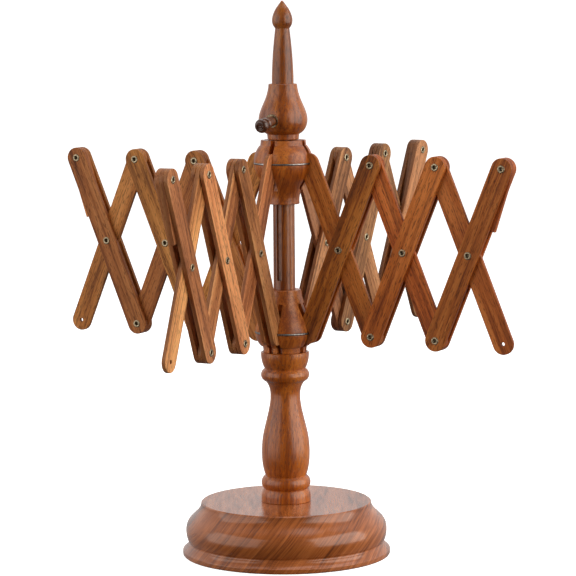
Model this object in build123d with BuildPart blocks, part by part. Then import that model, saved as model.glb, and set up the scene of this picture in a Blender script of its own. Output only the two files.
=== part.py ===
from build123d import *
from math import atan2, cos, degrees, radians, sin, sqrt
import os

# Tabletop yarn swift: a turned stand, and a reel of four scissor arms that opens like an umbrella.
# Millimetres, +Z up, origin at the centre of the underside of the base.

# ---- driving dimensions -------------------------------------------------------------------------

# stand
base_radius = 76.2
base_height = 39.0
base_top_radius = 62.2
column_top = 149.5
column_tenon_radius = 10.0
column_tenon_length = 18.0
shaft_radius = 7.9
shaft_tip = 404.3
shaft_tenon_radius = 5.5
shaft_tenon_length = 40.0
groove_width = 4.0
groove_depth = 1.8
groove_bottom = 202.0
groove_top = 342.0

# reel
slat_spacing = 133.0
slat_width = 15.4
slat_thickness = 3.1
layer_pitch = 3.5
rest_angle = 67.7
crosses = 3
arm_azimuths = {"front": 270.0, "right": 0.0, "rear": 80.0, "left": 180.0}
edge_easing = 0.45
spacer_length = 44.5
spacer_drift = 4.5
spacer_easing = 0.35
end_hole_radius = 1.5

# hubs, each with the ring that the inner slat ends turn on
hub_bore_radius = 8.15
hub_core_radius = 12.4
hub_slot_width = 3.6
hub_pivot_radius = 20.8
wire_radius = 0.8
wire_groove_radius = 1.0
wire_hole_radius = 1.3
lower_hub_base = 149.7
lower_ring_height = 164.2
lower_slot_top = 185.5
upper_hub_top = 304.0
upper_slot_bottom = 267.5

# hollow rivets
eyelet_bore_radius = 1.2
eyelet_barrel_radius = 1.7
eyelet_flange_radius = 2.8
eyelet_flange_thickness = 0.5
pivot_clearance = 0.1

# lock collar and its screw
collar_base = 304.4
collar_top = 344.6
collar_bore_radius = 8.15
screw_drop = 10.0
screw_entry = (0.0, -17.7, 318.6)
insert_radius = 4.7
insert_bore_radius = 3.4
insert_depth = 8.0
insert_proud = 0.5
thread_radius = 3.3
tip_radius = 1.75
tip_reach = 11.2
shank_radius = 3.75
bead_radius = 4.55
knob_neck_radius = 3.5
knob_radius = 5.1
knob_end = 19.6

# wood screw under the base
screw_length = 52.0
screw_radius = 2.1
screw_head_radius = 4.6
screw_head_height = 2.6
screw_point_length = 5.0
screw_cross_length = 5.0
screw_cross_width = 1.0
screw_cross_depth = 1.4
screw_recess_radius = 6.0
screw_recess_depth = 4.0

# ---- derived dimensions -------------------------------------------------------------------------

cross_height = slat_spacing * sin(radians(rest_angle))
cross_width = slat_spacing * cos(radians(rest_angle))
upper_ring_height = lower_ring_height + cross_height
lower_ring_radius = sqrt(hub_pivot_radius**2 + layer_pitch**2)
upper_ring_radius = hub_pivot_radius
rivet_grip = layer_pitch + slat_thickness / 2

os.makedirs("parts", exist_ok=True)


def save(part, name):
    part.label = name
    export_step(part, f"parts/{name}.step")


def arm_plane(azimuth):
    """The vertical plane that an arm folds in: local x runs outwards, local y runs up."""
    outward = (cos(radians(azimuth)), sin(radians(azimuth)), 0)
    sideways = (sin(radians(azimuth)), -cos(radians(azimuth)), 0)
    return Plane(origin=(0, 0, 0), x_dir=outward, z_dir=sideways)


# ---- stand --------------------------------------------------------------------------------------

# Turned base: thin foot flange, narrow groove, bulging side and a cove up to the flat top.
with BuildPart() as base_disc:
    with BuildSketch(Plane.XZ):
        with BuildLine():
            Line((0, 0), (base_radius - 1.2, 0))
            ThreePointArc((base_radius - 1.2, 0), (base_radius - 0.35, 0.35), (base_radius, 1.2))
            Line((base_radius, 1.2), (base_radius, 3.3))
            ThreePointArc((base_radius, 3.3), (base_radius - 0.15, 3.8), (base_radius - 0.6, 4.1))
            ThreePointArc((base_radius - 0.6, 4.1), (73.7, 5.7), (72.3, 7.9))
            ThreePointArc((72.3, 7.9), (71.5, 9.2), (72.3, 10.8))
            Spline(
                (72.3, 10.8),
                (73.7, 17.0),
                (72.4, 24.3),
                (67.0, 30.2),
                (63.3, 34.9),
                (base_top_radius + 0.3, base_height - 0.7),
            )
            Line((base_top_radius + 0.3, base_height - 0.7), (base_top_radius - 0.5, base_height))
            Line((base_top_radius - 0.5, base_height), (0, base_height))
            Line((0, base_height), (0, 0))
        make_face()
    revolve(axis=Axis.Z)
    with BuildSketch(Plane.XY.offset(base_height)):
        Circle(column_tenon_radius)
    extrude(amount=-column_tenon_length, mode=Mode.SUBTRACT)
    with BuildSketch(Plane.XY):
        Circle(screw_recess_radius)
    extrude(amount=screw_recess_depth, mode=Mode.SUBTRACT)
    with BuildSketch(Plane.XY):
        Circle(screw_radius)
    extrude(amount=base_height, mode=Mode.SUBTRACT)
save(base_disc.part, "base_disc")

# Turned column: foot drum, bead, vase, neck, bead and top cup, with a tenon into the base.
drum_radius = 18.1
foot_bead_radius = 18.05
vase_radius = 17.6
neck_radius = 10.9
top_bead_radius = 17.65
cup_radius = 17.65
with BuildPart() as column:
    with BuildSketch(Plane.XZ):
        with BuildLine():
            Polyline(
                (0, base_height - column_tenon_length),
                (column_tenon_radius, base_height - column_tenon_length),
                (column_tenon_radius, base_height),
                (drum_radius - 0.3, base_height),
                (drum_radius, base_height + 0.3),
                (drum_radius, 42.5),
            )
            ThreePointArc((drum_radius, 42.5), (17.7, 45.6), (16.6, 48.0))
            Line((16.6, 48.0), (16.1, 48.5))
            ThreePointArc((16.1, 48.5), (foot_bead_radius, 53.1), (15.9, 57.7))
            Line((15.9, 57.7), (15.0, 58.2))
            Spline(
                (15.0, 58.2),
                (17.0, 66.0),
                (vase_radius, 74.5),
                (17.0, 85.2),
                (14.1, 98.7),
                (11.5, 110.5),
                (neck_radius, 117.0),
                (11.6, 122.8),
                (14.4, 127.9),
            )
            ThreePointArc((14.4, 127.9), (top_bead_radius, 131.8), (15.4, 136.9))
            Line((15.4, 136.9), (15.0, 137.4))
            Spline((15.0, 137.4), (16.6, 141.2), (17.5, 145.6), (cup_radius, column_top - 0.4))
            Polyline(
                (cup_radius, column_top - 0.4),
                (cup_radius - 0.4, column_top),
                (0, column_top),
                (0, base_height - column_tenon_length),
            )
        make_face()
    revolve(axis=Axis.Z)
    with BuildSketch(Plane.XY.offset(column_top)):
        Circle(shaft_tenon_radius)
    extrude(amount=-shaft_tenon_length, mode=Mode.SUBTRACT)
    with BuildSketch(Plane.XY.offset(base_height - column_tenon_length)):
        Circle(screw_radius)
    extrude(amount=screw_length + screw_recess_depth - base_height + column_tenon_length, mode=Mode.SUBTRACT)
save(column.part, "column")

# Shaft: a rod with a tapered top and a pointed finial, and a flat-floored groove down its front.
taper_base = 350.0
finial_base = 384.3
with BuildPart() as shaft:
    with BuildSketch(Plane.XZ):
        with BuildLine():
            Polyline(
                (0, column_top - shaft_tenon_length),
                (shaft_tenon_radius, column_top - shaft_tenon_length),
                (shaft_tenon_radius, column_top),
                (shaft_radius, column_top),
                (shaft_radius, taper_base),
            )
            ThreePointArc((shaft_radius, taper_base), (7.0, 367.0), (5.2, finial_base))
            Line((5.2, finial_base), (5.4, finial_base + 0.4))
            Spline((5.4, finial_base + 0.4), (7.0, 387.4), (7.45, 390.4), (6.6, 394.6), (4.5, 399.0))
            Polyline(
                (4.5, 399.0),
                (0.9, shaft_tip - 0.5),
                (0.4, shaft_tip),
                (0, shaft_tip),
                (0, column_top - shaft_tenon_length),
            )
        make_face()
    revolve(axis=Axis.Z)
    with BuildSketch(Plane.XY.offset(groove_bottom)):
        with Locations((0, -shaft_radius)):
            Rectangle(groove_width, 2 * groove_depth)
    extrude(amount=groove_top - groove_bottom, mode=Mode.SUBTRACT)
save(shaft.part, "shaft")

# Flat-headed wood screw that holds the column down to the base, with its head in the base's recess.
screw_head_bottom = screw_recess_depth - screw_head_height
with BuildPart() as base_screw:
    with BuildSketch(Plane.XZ):
        with BuildLine():
            Polyline(
                (0, screw_head_bottom),
                (screw_head_radius, screw_head_bottom),
                (screw_head_radius, screw_recess_depth),
                (screw_radius, screw_recess_depth),
                (screw_radius, screw_recess_depth + screw_length - screw_point_length),
                (0, screw_recess_depth + screw_length),
                (0, screw_head_bottom),
            )
        make_face()
    revolve(axis=Axis.Z)
    with BuildSketch(Plane.XY.offset(screw_head_bottom)):
        Rectangle(screw_cross_length, screw_cross_width)
        Rectangle(screw_cross_width, screw_cross_length)
    extrude(amount=screw_cross_depth, mode=Mode.SUBTRACT)
save(base_screw.part, "base_screw")

# ---- hubs ---------------------------------------------------------------------------------------


def make_hub(wide_end, up, rim, shoulders, ring_radius, ring_height, slot_end, slot_offsets):
    """A turned bell-shaped hub. Its outline is given by distance from the wide end and radius."""
    with BuildPart() as hub:
        with BuildSketch(Plane.XZ):
            with BuildLine():
                outline = [(radius, wide_end + up * distance) for distance, radius in shoulders]
                end = outline[-1]
                rim_low = (rim[1], wide_end)
                rim_high = (rim[1] + 0.4, wide_end + up * rim[0])
                Polyline((hub_bore_radius, wide_end), rim_low, rim_high, outline[0])
                Spline(*outline)
                Polyline(
                    end,
                    (end[0] - 0.4, end[1] + up * 0.4),
                    (hub_bore_radius, end[1] + up * 0.4),
                    (hub_bore_radius, wide_end),
                )
            make_face()
        revolve(axis=Axis.Z)
        with BuildSketch(Plane.XZ):
            with Locations((ring_radius, ring_height)):
                Circle(wire_groove_radius)
        revolve(axis=Axis.Z, mode=Mode.SUBTRACT)
        for azimuth in arm_azimuths.values():
            outward = (cos(radians(azimuth)), sin(radians(azimuth)), 0)
            with BuildSketch(Plane(origin=(0, 0, wide_end), x_dir=outward, z_dir=(0, 0, up))):
                for offset in slot_offsets:
                    with Locations(((hub_core_radius + 2 * hub_pivot_radius) / 2, offset)):
                        Rectangle(2 * hub_pivot_radius - hub_core_radius, hub_slot_width)
            extrude(amount=abs(slot_end - wide_end), mode=Mode.SUBTRACT)
    return hub.part


def make_ring(ring_radius, ring_height):
    with BuildPart() as ring:
        with BuildSketch(Plane.XZ):
            with Locations((ring_radius, ring_height)):
                Circle(wire_radius)
        revolve(axis=Axis.Z)
    return ring.part


# Each pair is a distance from the hub's wide end and the radius there.
lower_hub = make_hub(
    wide_end=lower_hub_base,
    up=1,
    rim=(4.0, 15.7),
    shoulders=[
        (4.4, 17.6),
        (9.0, 20.6),
        (14.5, 21.7),
        (23.0, 19.6),
        (30.5, 16.2),
        (38.5, 13.4),
        (45.0, 12.2),
    ],
    ring_radius=lower_ring_radius,
    ring_height=lower_ring_height,
    slot_end=lower_slot_top,
    slot_offsets=[-layer_pitch, layer_pitch],
)
save(lower_hub, "lower_hub")
upper_hub = make_hub(
    wide_end=upper_hub_top,
    up=-1,
    rim=(3.7, 16.3),
    shoulders=[
        (4.1, 17.3),
        (10.5, 20.7),
        (16.8, 21.5),
        (26.5, 18.6),
        (32.0, 15.0),
        (37.5, 12.5),
        (46.0, 11.6),
    ],
    ring_radius=upper_ring_radius,
    ring_height=upper_ring_height,
    slot_end=upper_slot_bottom,
    slot_offsets=[0],
)
save(upper_hub, "upper_hub")
save(make_ring(lower_ring_radius, lower_ring_height), "lower_hub_ring")
save(make_ring(upper_ring_radius, upper_ring_height), "upper_hub_ring")

# ---- lock collar --------------------------------------------------------------------------------

# The screw's axis leaves the collar towards -Y and drops by a few degrees.
screw_direction = (0, -cos(radians(screw_drop)), -sin(radians(screw_drop)))
screw_plane = Plane(origin=screw_entry, x_dir=(1, 0, 0), z_dir=screw_direction)

# Bulb-shaped collar on a short neck.
with BuildPart() as lock_collar:
    with BuildSketch(Plane.XZ):
        with BuildLine():
            Polyline(
                (collar_bore_radius, collar_base),
                (10.9, collar_base),
                (11.3, collar_base + 0.4),
                (11.7, 308.2),
                (12.3, 308.6),
            )
            Spline(
                (12.3, 308.6),
                (16.3, 312.7),
                (17.75, 318.8),
                (16.3, 325.6),
                (13.0, 333.4),
                (10.9, 340.3),
                (10.4, collar_top - 0.4),
            )
            Polyline(
                (10.4, collar_top - 0.4),
                (10.0, collar_top),
                (collar_bore_radius, collar_top),
                (collar_bore_radius, collar_base),
            )
        make_face()
    revolve(axis=Axis.Z)
    with BuildSketch(screw_plane.offset(-insert_depth)):
        Circle(insert_radius)
    extrude(amount=2 * insert_depth, mode=Mode.SUBTRACT)
    with BuildSketch(screw_plane):
        Circle(insert_bore_radius)
    extrude(amount=-tip_reach, mode=Mode.SUBTRACT)
save(lock_collar.part, "lock_collar")

# Threaded brass bush in the collar, with its rim just proud of the wood.
with BuildPart() as lock_insert:
    with BuildSketch(screw_plane.offset(-insert_depth)):
        Circle(insert_radius)
        Circle(insert_bore_radius, mode=Mode.SUBTRACT)
    extrude(amount=insert_depth + insert_proud)
save(lock_insert.part, "lock_insert")

# Wooden screw: narrow tip in the shaft's groove, threaded stem, shank, bead and a knob with a turned eye.
with BuildPart() as lock_screw:
    with BuildSketch(Plane(origin=screw_entry, x_dir=screw_direction, z_dir=(1, 0, 0))):
        with BuildLine():
            Polyline(
                (-tip_reach, 0),
                (-tip_reach, tip_radius - 0.3),
                (-tip_reach + 0.3, tip_radius),
                (-9.0, tip_radius),
                (-8.6, thread_radius),
                (0.9, thread_radius),
                (0.9, shank_radius),
                (7.5, shank_radius),
                (7.8, 4.1),
            )
            ThreePointArc((7.8, 4.1), (9.5, bead_radius), (11.2, 4.1))
            Polyline((11.2, 4.1), (11.7, knob_neck_radius), (12.8, knob_neck_radius))
            ThreePointArc((12.8, knob_neck_radius), (14.0, 4.7), (15.7, knob_radius))
            ThreePointArc((15.7, knob_radius), (17.9, 4.5), (knob_end - 0.7, 2.9))
            Polyline(
                (knob_end - 0.7, 2.9),
                (knob_end - 1.0, 2.4),
                (knob_end - 0.5, 1.9),
                (knob_end - 0.9, 1.2),
                (knob_end - 0.1, 0.6),
                (knob_end, 0),
                (-tip_reach, 0),
            )
        make_face()
    revolve(axis=Axis(screw_entry, screw_direction))
save(lock_screw.part, "lock_screw")

# ---- scissor arms -------------------------------------------------------------------------------
# Outer slats come in pairs, one each side of the arm. Middle slats run between them.


def ease_outline(slat, azimuth, radius):
    """Rounds the long edges of a builder's slats, and leaves their rivet holes sharp."""
    broad_faces = slat.faces().filter_by(Axis((0, 0, 0), arm_plane(azimuth).z_dir))
    fillet([edge for face in broad_faces for edge in face.outer_wire().edges()], radius)


def make_slats(azimuth, inner_end, outer_end, layers, hole_radii):
    """Round-ended slats with a hole at the inner end, the middle and the outer end."""
    middle = ((inner_end[0] + outer_end[0]) / 2, (inner_end[1] + outer_end[1]) / 2)
    slope = degrees(atan2(outer_end[1] - inner_end[1], outer_end[0] - inner_end[0]))
    with BuildPart() as slats:
        for layer in layers:
            with BuildSketch(arm_plane(azimuth).offset(layer)):
                with Locations(Location((*middle, 0), slope)):
                    SlotCenterToCenter(slat_spacing, slat_width)
                for place, radius in zip((inner_end, middle, outer_end), hole_radii):
                    with Locations(place):
                        Circle(radius, mode=Mode.SUBTRACT)
            extrude(amount=slat_thickness / 2, both=True)
        ease_outline(slats, azimuth, edge_easing)
    return slats.part


def make_spacer(azimuth, top_pivot):
    """Half-length slat between the last outer pair, hung from the top pivot and turned outwards a little."""
    with BuildPart() as spacer:
        with BuildSketch(arm_plane(azimuth)):
            with Locations(Location((*top_pivot, 0), rest_angle + spacer_drift)):
                Circle(slat_width / 2)
                with Locations((-spacer_length / 2, 0)):
                    Rectangle(spacer_length, slat_width)
                Circle(eyelet_barrel_radius, mode=Mode.SUBTRACT)
        extrude(amount=layer_pitch - slat_thickness / 2, both=True)
        ease_outline(spacer, azimuth, spacer_easing)
    return spacer.part


def make_eyelets(azimuth, places):
    """Hollow rivets through all three layers, with a flange on each side of the arm."""
    with BuildPart() as eyelets:
        with BuildSketch(arm_plane(azimuth)):
            with Locations(*places):
                Circle(eyelet_barrel_radius)
                Circle(eyelet_bore_radius, mode=Mode.SUBTRACT)
        extrude(amount=rivet_grip, both=True)
        for side in (-1, 1):
            with BuildSketch(arm_plane(azimuth).offset(side * rivet_grip)):
                with Locations(*places):
                    Circle(eyelet_flange_radius)
                    Circle(eyelet_bore_radius, mode=Mode.SUBTRACT)
            extrude(amount=side * eyelet_flange_thickness)
    return eyelets.part


fixed_hole = eyelet_barrel_radius
turning_hole = eyelet_barrel_radius + pivot_clearance
for arm, azimuth in arm_azimuths.items():
    for cross in range(1, crosses + 1):
        inner_radius = hub_pivot_radius + (cross - 1) * cross_width
        outer_radius = inner_radius + cross_width
        low_inner = (inner_radius, lower_ring_height)
        high_inner = (inner_radius, upper_ring_height)
        low_outer = (outer_radius, lower_ring_height)
        high_outer = (outer_radius, upper_ring_height)
        centre = ((inner_radius + outer_radius) / 2, (lower_ring_height + upper_ring_height) / 2)
        on_hub = cross == 1
        at_rim = cross == crosses

        outer_holes = (wire_hole_radius if on_hub else fixed_hole, fixed_hole, fixed_hole)
        outer_slats = make_slats(azimuth, low_inner, high_outer, (-layer_pitch, layer_pitch), outer_holes)
        save(outer_slats, f"{arm}_outer_slats_{cross}")

        inner_holes = (
            wire_hole_radius if on_hub else turning_hole,
            turning_hole,
            end_hole_radius if at_rim else turning_hole,
        )
        inner_slat = make_slats(azimuth, high_inner, low_outer, (0,), inner_holes)
        save(inner_slat, f"{arm}_inner_slat_{cross}")

        rivet_places = [centre, high_outer] if on_hub else [low_inner, centre, high_outer]
        save(make_eyelets(azimuth, rivet_places), f"{arm}_eyelets_{cross}")
    save(make_spacer(azimuth, high_outer), f"{arm}_end_spacer")
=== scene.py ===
import math

import bpy
import numpy as np
from mathutils import Matrix, Vector


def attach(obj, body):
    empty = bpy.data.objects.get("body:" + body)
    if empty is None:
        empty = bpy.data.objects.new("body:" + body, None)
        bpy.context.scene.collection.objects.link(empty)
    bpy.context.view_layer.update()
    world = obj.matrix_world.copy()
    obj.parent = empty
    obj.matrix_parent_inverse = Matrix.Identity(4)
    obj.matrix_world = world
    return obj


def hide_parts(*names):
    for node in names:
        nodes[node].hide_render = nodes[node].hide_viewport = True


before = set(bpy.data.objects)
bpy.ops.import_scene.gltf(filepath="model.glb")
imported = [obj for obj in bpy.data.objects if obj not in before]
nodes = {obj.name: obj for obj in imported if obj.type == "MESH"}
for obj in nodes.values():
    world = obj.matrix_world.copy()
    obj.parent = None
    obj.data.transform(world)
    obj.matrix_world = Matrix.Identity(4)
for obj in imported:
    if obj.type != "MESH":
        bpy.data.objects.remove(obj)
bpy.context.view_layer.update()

MM = 0.001

# The camera's viewing angle, its lens and its slight roll.
view_azimuth = math.radians(26.99)
view_elevation = math.radians(6.58)
view_roll = math.radians(-0.47)
view_distance = 2.0
view_lens = 171.6
view_height = 0.1960
view_side = 0.0026

# The four arms, by the direction each one points in.
arm_azimuths = {"front": 270, "right": 0, "rear": 80, "left": 180}
crosses = (1, 2, 3)

# Wood colours, linear, from dark late wood to light early wood.
WOODS = {
    "honey": ((0.230, 0.072, 0.020), (0.560, 0.210, 0.070), (0.800, 0.370, 0.140)),
    "red": ((0.205, 0.045, 0.008), (0.520, 0.136, 0.020), (0.740, 0.240, 0.050)),
    "tan": ((0.160, 0.058, 0.020), (0.400, 0.168, 0.064), (0.570, 0.270, 0.118)),
    "brown": ((0.215, 0.066, 0.015), (0.540, 0.192, 0.044), (0.720, 0.300, 0.085)),
    "turned": ((0.270, 0.058, 0.005), (0.450, 0.112, 0.011), (0.620, 0.190, 0.028)),
    "shaft": ((0.110, 0.022, 0.003), (0.300, 0.076, 0.009), (0.440, 0.138, 0.022)),
    "collar": ((0.180, 0.038, 0.004), (0.350, 0.084, 0.009), (0.500, 0.150, 0.022)),
    "base": ((0.150, 0.038, 0.009), (0.380, 0.103, 0.021), (0.560, 0.178, 0.047)),
    "knob": ((0.055, 0.014, 0.003), (0.180, 0.052, 0.012), (0.290, 0.100, 0.028)),
}
PORE = (0.030, 0.009, 0.004)
SHEET_SCALE = 0.06  # how fast the grain changes along a sheet, against across it


# ---------------------------------------------------------------- shader helpers

def add(tree, kind, sockets=None, **properties):
    """A new shader node with its properties and sockets set or linked. Returns its outputs."""
    node = tree.nodes.new("ShaderNode" + kind)
    for key, value in properties.items():
        setattr(node, key, value)
    for key, value in (sockets or {}).items():
        if isinstance(value, bpy.types.NodeSocket):
            tree.links.new(value, node.inputs[key])
        else:
            node.inputs[key].default_value = value
    return node.outputs


def colour(rgb):
    return (*rgb, 1.0)


def math_node(tree, operation, a, b=0.0, clamp=False):
    return add(tree, "Math", {0: a, 1: b}, operation=operation, use_clamp=clamp)[0]


def noise(tree, vector, scale, detail=2.0, roughness=0.5, distortion=0.0):
    """Noise whose scale is a triple: how many features per metre run along each axis."""
    scaled = add(tree, "Mapping", {"Vector": vector, "Scale": scale})[0]
    sockets = {"Vector": scaled, "Scale": 1.0, "Detail": detail}
    sockets.update({"Roughness": roughness, "Distortion": distortion})
    return add(tree, "TexNoise", sockets)[0]


def ramp(tree, factor, stops):
    """A colour ramp through (position, colour) stops."""
    out = add(tree, "ValToRGB", {"Fac": factor})
    elements = out[0].node.color_ramp.elements
    while len(elements) < len(stops):
        elements.new(0.5)
    for element, (position, rgb) in zip(elements, stops):
        element.position = position
        element.color = colour(rgb)
    return out[0]


def remap(tree, value, low, high, to_low, to_high):
    sockets = {"Value": value, 1: low, 2: high, 3: to_low, 4: to_high}
    return add(tree, "MapRange", sockets)[0]


def mix_colour(tree, factor, a, b, blend="MIX"):
    return add(tree, "Mix", {0: factor, 6: a, 7: b}, data_type="RGBA", blend_type=blend)[2]


def new_material(name):
    material = bpy.data.materials.new(name)
    material.use_nodes = True
    tree = material.node_tree
    shader = tree.nodes["Principled BSDF"]
    return material, tree, shader


def wood(name, tones, grain_axis=None, figure=3.0, turned_marks=0.0, gloss=0.36, coat=0.25,
         pores=0.5, shares=(0.34, 1.25, 0.55, 0.30), tone_range=0.0, spread=1.0,
         specular=0.5, pin=None, lines=0.62, sheet_axis=None, coat_rough=0.16, head=None):
    """Varnished wood, with its grain along grain_axis, or along each slat where that is None.

    tones: dark, middle and light colours. shares: weights of layers, streaks, fibres and clouds.
    spread: fineness across the grain. pin: the pivot direction. Faces turned away from it, the slats'
    thin edges, are darkened with painted shade for the shadow in the gaps between layered slats.
    sheet_axis: a direction that the growth layers also run along, so end grain shows streaks.
    head: (distance, axis), past which a turned head is darker.
    """
    material, tree, shader = new_material(name)
    if grain_axis is None:
        place = add(tree, "Attribute", attribute_name="grain")["Vector"]
    else:
        along = Vector(grain_axis).normalized()
        side = along.orthogonal() if sheet_axis is None else Vector(sheet_axis)
        side = (side - side.dot(along) * along).normalized()
        turn = Matrix((along, side, along.cross(side))).to_euler()
        where = add(tree, "TexCoord")["Object"]
        place = add(tree, "Mapping", {"Vector": where, "Rotation": turn})[0]
        if sheet_axis is not None:
            place = add(tree, "Mapping", {"Vector": place, "Scale": (1.0, SHEET_SCALE, 1.0)})[0]

    # Growth layers are the level lines of a slow field, so they make natural figures on any cut.
    field = noise(tree, place, (4.5, 34 * spread, 34 * spread), 1.6, 0.45, 0.25)
    layers = math_node(tree, "SINE", math_node(tree, "MULTIPLY", field, figure * 2 * math.pi))
    layers = remap(tree, layers, -1.0, 1.0, 0.0, 1.0)
    streak = noise(tree, place, (9, 240 * spread, 240 * spread), 3.5, 0.62, 0.4)
    fibre = noise(tree, place, (42, 1150, 1150), 2.5, 0.6)
    fleck = noise(tree, place, (210, 1300, 1300), 1.5, 0.5)
    cloud = noise(tree, place, (26, 60, 60), 1.0, 0.5)

    parts = tuple(zip((layers, streak, fibre, cloud), shares))
    depth = math_node(tree, "MULTIPLY", *parts[0])
    for pattern, share in parts[1:]:
        depth = math_node(tree, "ADD", depth, math_node(tree, "MULTIPLY", pattern, share))
    centre = sum(share for pattern, share in parts) / 2
    depth = remap(tree, depth, centre - 0.34, centre + 0.34, 0.0, 1.0)
    dark, middle, light = tones
    body = ramp(tree, depth, ((0.05, dark), (0.45, middle), (0.95, light)))

    if tone_range:
        tone = add(tree, "Attribute", attribute_name="tone")["Fac"]
        value = remap(tree, tone, 0.0, 1.0, 1.0 - tone_range, 1.0 + tone_range)
        other = math_node(tree, "FRACT", math_node(tree, "MULTIPLY", tone, 7.3))
        hue = remap(tree, other, 0.0, 1.0, 0.494, 0.507)
        sockets = {"Hue": hue, "Saturation": 1.0, "Value": value, "Color": body}
        body = add(tree, "HueSaturation", sockets)[0]

    line = remap(tree, noise(tree, place, (7, 430, 430), 1.5, 0.5, 0.3), 0.57, 0.68, 0.0, lines)
    body = mix_colour(tree, line, body, colour(dark))
    open_pore = remap(tree, fleck, 0.56, 0.66, 0.0, pores)
    body = mix_colour(tree, open_pore, body, colour(PORE))
    # Painted shade: faces turned away from the pin, the thin slat edges, are mixed towards the dark
    # tone to stand for the shadow in the gaps between layered slats.
    if pin is not None:
        facing = add(tree, "TexCoord")["Normal"]
        flat = add(tree, "VectorMath", {0: facing, 1: pin}, operation="DOT_PRODUCT")["Value"]
        side = remap(tree, math_node(tree, "ABSOLUTE", flat), 0.75, 0.30, 0.0, 0.6)
        body = mix_colour(tree, side, body, colour(dark))
    if head is not None:
        start, axis = head
        reach = add(tree, "VectorMath", {0: where, 1: axis}, operation="DOT_PRODUCT")["Value"]
        in_head = remap(tree, reach, start, start + 1.5 * MM, 0.0, 0.65)
        body = mix_colour(tree, in_head, body, colour(dark))
    tree.links.new(body, shader.inputs["Base Color"])

    rough = remap(tree, streak, 0.3, 0.7, gloss + 0.06, gloss - 0.03)
    rough = math_node(tree, "ADD", rough, math_node(tree, "MULTIPLY", open_pore, 0.25))
    tree.links.new(rough, shader.inputs["Roughness"])

    height = math_node(tree, "SUBTRACT", math_node(tree, "MULTIPLY", fibre, 0.5), open_pore)
    if turned_marks:
        where = add(tree, "TexCoord")["Object"]
        ring = noise(tree, where, (6, 6, 1500), 1.0)
        height = math_node(tree, "ADD", height, math_node(tree, "MULTIPLY", ring, turned_marks))
    bump = add(tree, "Bump", {"Strength": 0.22, "Distance": 0.0004, "Height": height})[0]
    tree.links.new(bump, shader.inputs["Normal"])
    shader.inputs["IOR"].default_value = 1.5
    shader.inputs["Specular IOR Level"].default_value = specular
    shader.inputs["Coat Weight"].default_value = coat
    shader.inputs["Coat Roughness"].default_value = coat_rough
    return material


def metal(name, bright, dull, rough, scale=900.0):
    """Worn metal: clear spots of the bare metal in a dull film."""
    material, tree, shader = new_material(name)
    where = add(tree, "TexCoord")["Object"]
    film = noise(tree, where, (scale, scale, scale), 3.0, 0.6)
    film = remap(tree, film, 0.35, 0.65, 0.0, 1.0)
    base = ramp(tree, film, ((0.0, dull), (1.0, bright)))
    tree.links.new(base, shader.inputs["Base Color"])
    tree.links.new(remap(tree, film, 0.0, 1.0, rough + 0.16, rough), shader.inputs["Roughness"])
    fine = noise(tree, where, (scale * 3, scale * 3, scale * 3), 2.0)
    bump = add(tree, "Bump", {"Strength": 0.15, "Distance": 0.0002, "Height": fine})[0]
    tree.links.new(bump, shader.inputs["Normal"])
    shader.inputs["Metallic"].default_value = 1.0
    return material


# ---------------------------------------------------------------- slats

def arm_axes(arm):
    """The arm's outward direction and the direction its pins run in."""
    turn = math.radians(arm_azimuths[arm])
    return np.array((math.cos(turn), math.sin(turn), 0)), np.array((-math.sin(turn), math.cos(turn), 0))


def lay_grain(node, arm, seed):
    """Gives each slat of a node its own coordinates along, across and through it."""
    out, pin = arm_axes(arm)
    mesh = node.data
    points = np.empty(len(mesh.vertices) * 3)
    mesh.vertices.foreach_get("co", points)
    points = points.reshape(-1, 3)
    flat = np.stack((points @ out, points[:, 2]), 1)
    middle = (flat.min(0) + flat.max(0)) / 2
    flat -= middle
    spread = flat.T @ flat
    lean = 0.5 * math.atan2(2 * spread[0, 1], spread[0, 0] - spread[1, 1])
    along = flat @ (math.cos(lean), math.sin(lean))
    across = flat @ (-math.sin(lean), math.cos(lean))
    through = points @ pin
    layer = (through > through.mean()).astype(float) if np.ptp(through) > 6 * MM else 0 * through
    number = seed + layer
    grain = np.stack((along + 0.61 * number, across + 0.37 * number, through + 0.23 * number), 1)
    written = mesh.attributes.new("grain", "FLOAT_VECTOR", "POINT")
    written.data.foreach_set("vector", grain.astype(np.float32).ravel())
    tone = mesh.attributes.new("tone", "FLOAT", "POINT")
    tone.data.foreach_set("value", ((number * 0.618034) % 1.0).astype(np.float32))


def paint(node, material):
    node.data.materials.clear()
    node.data.materials.append(material)


slat_look = {}
for arm, tones, specular in (("front", "honey", 0.30), ("right", "red", 0.22), ("rear", "tan", 0.28),
                             ("left", "brown", 0.20)):
    slat_look[arm] = wood(f"slat_{tones}_wood", WOODS[tones], gloss=0.42, coat=0.0, specular=specular,
                          pores=0.55, tone_range=0.24, pin=arm_axes(arm)[1])
seed = 1
for arm in arm_azimuths:
    for cross in crosses:
        for name in (f"{arm}_outer_slats_{cross}", f"{arm}_inner_slat_{cross}"):
            lay_grain(nodes[name], arm, seed)
            paint(nodes[name], slat_look[arm])
            seed += 2
    lay_grain(nodes[f"{arm}_end_spacer"], arm, seed)
    paint(nodes[f"{arm}_end_spacer"], slat_look[arm])
    seed += 2


# ---------------------------------------------------------------- turned parts

upright = (0.03, 0.02, 1.0)
turned_wood = wood("turned_wood", WOODS["turned"], upright, figure=2.0, gloss=0.27, coat=0.2,
                   pores=0.5, spread=1.7, lines=0.35)
shaft_wood = wood("shaft_wood", WOODS["shaft"], upright, figure=2.0, gloss=0.27, coat=0.2,
                   pores=0.5, spread=1.7, lines=0.35)
collar_wood = wood("collar_wood", WOODS["collar"], upright, figure=2.0, gloss=0.27, coat=0.2,
                   pores=0.5, spread=1.7, lines=0.35)
hub_wood = wood("hub_wood", WOODS["turned"], (0.5, -0.35, 1.0), gloss=0.32, coat=0.15,
                pores=0.4, turned_marks=0.8, spread=1.6, lines=0.35)

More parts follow.
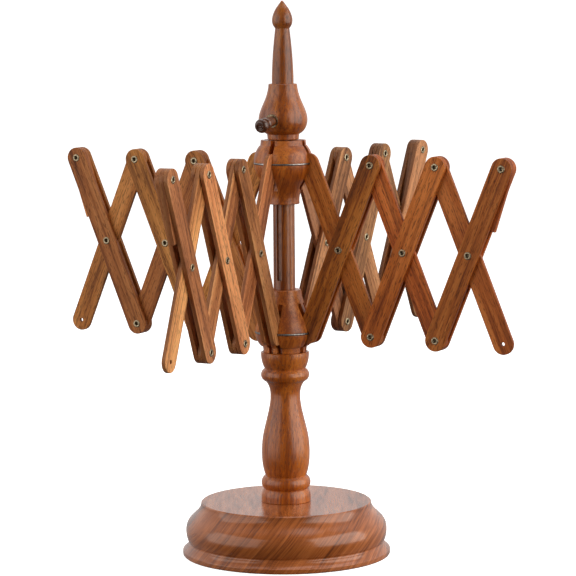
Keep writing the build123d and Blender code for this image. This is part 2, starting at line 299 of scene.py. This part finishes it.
# The base is cut from a slanting board: its grain rises to one side, in sheets that run front to back.
board_grain = (0.57, 0.29, 0.77)
board_depth = (0.454, -0.891, 0.0)
base_wood = wood("base_wood", WOODS["base"], board_grain, figure=3.0, gloss=0.20,
                 coat=0.3, pores=0.12, shares=(0.18, 1.10, 0.70, 0.05), lines=0.50, spread=1.7,
                 sheet_axis=board_depth, coat_rough=0.15)

# The thumbscrew points down, and its dark head starts some way out from where it enters the collar.
screw_drop = math.radians(10)
screw_axis = Vector((0.0, -math.cos(screw_drop), -math.sin(screw_drop)))
screw_entry = Vector((0.0, -17.7, 318.6)) * MM
head_reach = 12.6 * MM
head_start = screw_entry.dot(screw_axis) + head_reach
knob_wood = wood("knob_wood", WOODS["knob"], (0.0, 1.0, -0.2), gloss=0.30, coat=0.5,
                 head=(head_start, tuple(screw_axis)))
brass = metal("brass", (0.54, 0.45, 0.30), (0.17, 0.13, 0.085), 0.28)
steel_wire = metal("steel_wire", (0.52, 0.51, 0.50), (0.20, 0.19, 0.18), 0.30)
screw_steel = metal("screw_steel", (0.62, 0.60, 0.55), (0.40, 0.36, 0.28), 0.30)

finishes = {
    "base_disc": base_wood, "column": turned_wood, "shaft": shaft_wood,
    "lower_hub": hub_wood, "upper_hub": hub_wood, "lock_collar": collar_wood,
    "lock_screw": knob_wood, "lock_insert": brass, "base_screw": screw_steel,
    "lower_hub_ring": steel_wire, "upper_hub_ring": steel_wire,
}
for name, material in finishes.items():
    paint(nodes[name], material)


# ---------------------------------------------------------------- eyelets

def eyelet_places(node, arm):
    """The centre line and the two end planes of each eyelet in a node, read from its mesh."""
    out, pin = arm_axes(arm)
    found = []
    for vertex in nodes[node].data.vertices:
        point = np.array(vertex.co)
        place = np.array((point @ out, point[2], point @ pin))
        for group in found:
            if np.hypot(*(place[:2] - group[0][:2])) < 8 * MM:
                group.append(place)
                break
        else:
            found.append([place])
    return [(np.min(g, 0), np.max(g, 0)) for g in found]


def lathe(profile, sides, axes, centre):
    """Vertices and faces of a closed ring profile of (radius, height) pairs, turned about axes[2]."""
    vertices = []
    for k in range(sides):
        turn = 2 * math.pi * k / sides
        away = math.cos(turn) * axes[0] + math.sin(turn) * axes[1]
        vertices += [centre + r * away + h * axes[2] for r, h in profile]
    count = len(profile)
    faces = []
    for k in range(sides):
        for j in range(count):
            a = k * count + j
            b = k * count + (j + 1) % count
            c = (k + 1) % sides * count + (j + 1) % count
            d = (k + 1) % sides * count + j
            faces.append((a, b, c, d))
    return vertices, faces


eyelet_bore = 1.2 * MM
eyelet_barrel = 1.7 * MM
eyelet_lip = 2.8 * MM
lip_height = 0.5 * MM
eyelet_sides = 28


def eyelet_profile(half_length):
    """A hollow barrel whose two lips roll outwards and down on to the wood."""
    top = []
    for k in range(9):
        turn = math.pi * (1 - k / 8)
        middle = (eyelet_bore + eyelet_lip) / 2
        r = middle + (eyelet_lip - eyelet_bore) / 2 * math.cos(turn)
        top.append((r, half_length - lip_height + lip_height * math.sin(turn) ** 0.8))
    seat = half_length - lip_height
    upper = top + [(eyelet_lip * 0.93, seat), (eyelet_barrel, seat)]
    lower = [(r, -h) for r, h in reversed(upper)]
    return upper + lower


for arm in arm_azimuths:
    out, pin = arm_axes(arm)
    up = np.array((0.0, 0.0, 1.0))
    for cross in crosses:
        vertices, faces = [], []
        for low, high in eyelet_places(f"{arm}_eyelets_{cross}", arm):
            middle = (low + high) / 2
            centre = middle[0] * out + middle[1] * up + middle[2] * pin
            profile = eyelet_profile((high[2] - low[2]) / 2)
            points, sides = lathe(profile, eyelet_sides, (out, up, pin), centre)
            faces += [tuple(i + len(vertices) for i in side) for side in sides]
            vertices += points
        mesh = bpy.data.meshes.new(f"{arm}_rolled_eyelets_{cross}")
        mesh.from_pydata([tuple(v) for v in vertices], [], faces)
        mesh.validate()
        mesh.shade_smooth()
        mesh.materials.append(brass)
        piece = bpy.data.objects.new(mesh.name, mesh)
        bpy.context.scene.collection.objects.link(piece)
        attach(piece, f"{arm}_outer_{cross}")
        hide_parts(f"{arm}_eyelets_{cross}")


# ---------------------------------------------------------------- floor, light and camera

def aim(position, target):
    away = (Vector(position) - Vector(target)).normalized()
    return away.to_track_quat("Z", "Y").to_euler()


def around(azimuth, elevation, distance, target=(0, 0, 0.2)):
    """A place seen from the target at an azimuth measured like the camera's, in degrees."""
    a, e = math.radians(azimuth), math.radians(elevation)
    away = Vector((math.sin(a) * math.cos(e), -math.cos(a) * math.cos(e), math.sin(e)))
    return Vector(target) + distance * away


def softbox(name, azimuth, elevation, distance, width, height, watts, tint=(1, 1, 1)):
    light = bpy.data.lights.new(name, "AREA")
    light.shape = "RECTANGLE"
    light.size, light.size_y = width, height
    light.energy = watts
    light.color = tint
    lamp = bpy.data.objects.new(name, light)
    lamp.location = around(azimuth, elevation, distance)
    lamp.rotation_euler = aim(lamp.location, (0, 0, 0.2))
    bpy.context.scene.collection.objects.link(lamp)
    lamp.visible_camera = False
    return lamp


camera_side = math.degrees(view_azimuth)
softbox("right_softbox", camera_side + 66, 14, 1.5, 2.02, 1.6, 27, (1.0, 0.94, 0.86))
softbox("left_softbox", camera_side - 65, 12, 1.5, 2.1, 1.6, 14.5, (1.0, 0.95, 0.89))
softbox("top_softbox", camera_side + 150, 72, 1.6, 1.5, 1.5, 9)

floor_size = 60.0
floor_mesh = bpy.data.meshes.new("floor")
corners = [(x * floor_size, y * floor_size, 0.0) for x, y in ((-1, -1), (1, -1), (1, 1), (-1, 1))]
floor_mesh.from_pydata(corners, [], [(0, 1, 2, 3)])
floor = bpy.data.objects.new("floor", floor_mesh)
bpy.context.scene.collection.objects.link(floor)
floor_material, _, floor_shader = new_material("pale_floor")
floor_shader.inputs["Base Color"].default_value = (0.86, 0.86, 0.86, 1)
floor_shader.inputs["Roughness"].default_value = 0.9
floor_shader.inputs["Specular IOR Level"].default_value = 0.0
floor_shader.inputs["Emission Color"].default_value = (1, 1, 1, 1)
floor_shader.inputs["Emission Strength"].default_value = 0.85
floor_mesh.materials.append(floor_material)
floor.visible_glossy = False
floor.visible_diffuse = False

# The studio: white behind and at the sides, dark behind the camera.
world = bpy.data.worlds.new("studio")
world.use_nodes = True
tree = world.node_tree
tree.nodes.clear()
toward = around(camera_side, 0, 1, (0, 0, 0))
ray = add(tree, "TexCoord")["Generated"]
facing = add(tree, "VectorMath", {0: ray, 1: toward}, operation="DOT_PRODUCT")["Value"]
brightness = ((0.0, 0.76), (0.40, 0.66), (0.60, 0.24), (0.80, 0.10))
shade = ramp(tree, remap(tree, facing, -1, 1, 0, 1), [(at, (v, v, v)) for at, v in brightness])
height = add(tree, "SeparateXYZ", {0: ray})["Z"]
strength = remap(tree, height, -0.35, 0.10, 0.35, 1.0)
surround = add(tree, "Background", {"Color": shade, "Strength": strength})[0]
backdrop = add(tree, "Background", {"Color": (1, 1, 1, 1), "Strength": 1.0})[0]
seen = add(tree, "LightPath")["Is Camera Ray"]
both = add(tree, "MixShader", {0: seen, 1: surround, 2: backdrop})[0]
add(tree, "OutputWorld", {"Surface": both})
bpy.context.scene.world = world
bpy.context.scene.view_settings.view_transform = "Standard"

right = Vector((math.cos(view_azimuth), math.sin(view_azimuth), 0))
toward = Vector((math.sin(view_azimuth) * math.cos(view_elevation),
                 -math.cos(view_azimuth) * math.cos(view_elevation), math.sin(view_elevation)))
above = toward.cross(right)
rolled_right = math.cos(view_roll) * right + math.sin(view_roll) * above
rolled_up = math.cos(view_roll) * above - math.sin(view_roll) * right
place = Vector((0, 0, view_height)) + view_side * right + view_distance * toward
camera_data = bpy.data.cameras.new("camera")
camera_data.lens = view_lens
camera_data.sensor_width = 36.0
camera_data.clip_end = 200.0
camera = bpy.data.objects.new("camera", camera_data)
camera_turn = Matrix((rolled_right, rolled_up, toward)).transposed()
camera.matrix_world = Matrix.Translation(place) @ camera_turn.to_4x4()
bpy.context.scene.collection.objects.link(camera)
bpy.context.scene.camera = camera
